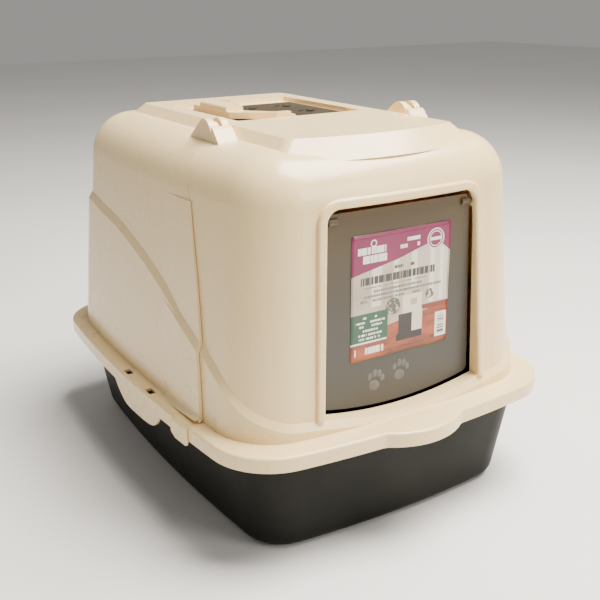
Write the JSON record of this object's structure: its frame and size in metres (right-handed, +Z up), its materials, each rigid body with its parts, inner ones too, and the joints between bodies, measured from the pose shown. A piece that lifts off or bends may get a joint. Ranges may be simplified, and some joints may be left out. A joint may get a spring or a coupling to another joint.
{
  "type": "hooded cat litter box",
  "caption": "Deep rounded litter pan with a lift-off hood whose front half flips up, a swinging see-through door, a folding carry handle and a top filter vent.",
  "frame": {"origin": "on the surface the pan stands on, in the middle of the hood's flange", "axes": "+Z up; the door faces -Y; +X to the right seen from the front"},
  "size_m": [0.386, 0.514, 0.379],
  "materials": {
    "pan_plastic": "near-black moulded polypropylene, satin",
    "hood_plastic": "ivory moulded polypropylene, glossy",
    "smoked_plastic": "smoked translucent plastic sheet",
    "vent_plastic": "smoked grey moulded plastic",
    "filter_felt": "black carbon-filled felt",
    "label_paper": "printed coated paper sticker"
  },
  "bodies": {
    "pan": {"litter_pan": "pan_plastic"},
    "rear_hood": {"rear_hood": "hood_plastic", "filter_cover": "vent_plastic", "carbon_filter": "filter_felt"},
    "front_hood": {"front_hood": "hood_plastic"},
    "door": {"door_flap": "smoked_plastic", "door_label": "label_paper"},
    "carry_handle": {"carry_handle": "hood_plastic"}
  },
  "joints": [
    {"name": "hood_lift", "type": "slide", "parent": "pan", "child": "rear_hood", "axis": [0, 0, 1], "range_m": [0, 0.15]},
    {"name": "hood_flip", "type": "hinge", "parent": "rear_hood", "child": "front_hood", "pos_m": [0, -0.066, 0.366], "axis": [-1, 0, 0], "range_deg": [0, 100]},
    {"name": "door_swing", "type": "hinge", "parent": "front_hood", "child": "door", "pos_m": [0, -0.2044, 0.304], "axis": [1, 0, 0], "range_deg": [-75, 75]},
    {"name": "handle_fold", "type": "hinge", "parent": "rear_hood", "child": "carry_handle", "pos_m": [0, 0.042, 0.364], "axis": [0, 1, 0], "range_deg": [0, 90]}
  ]
}
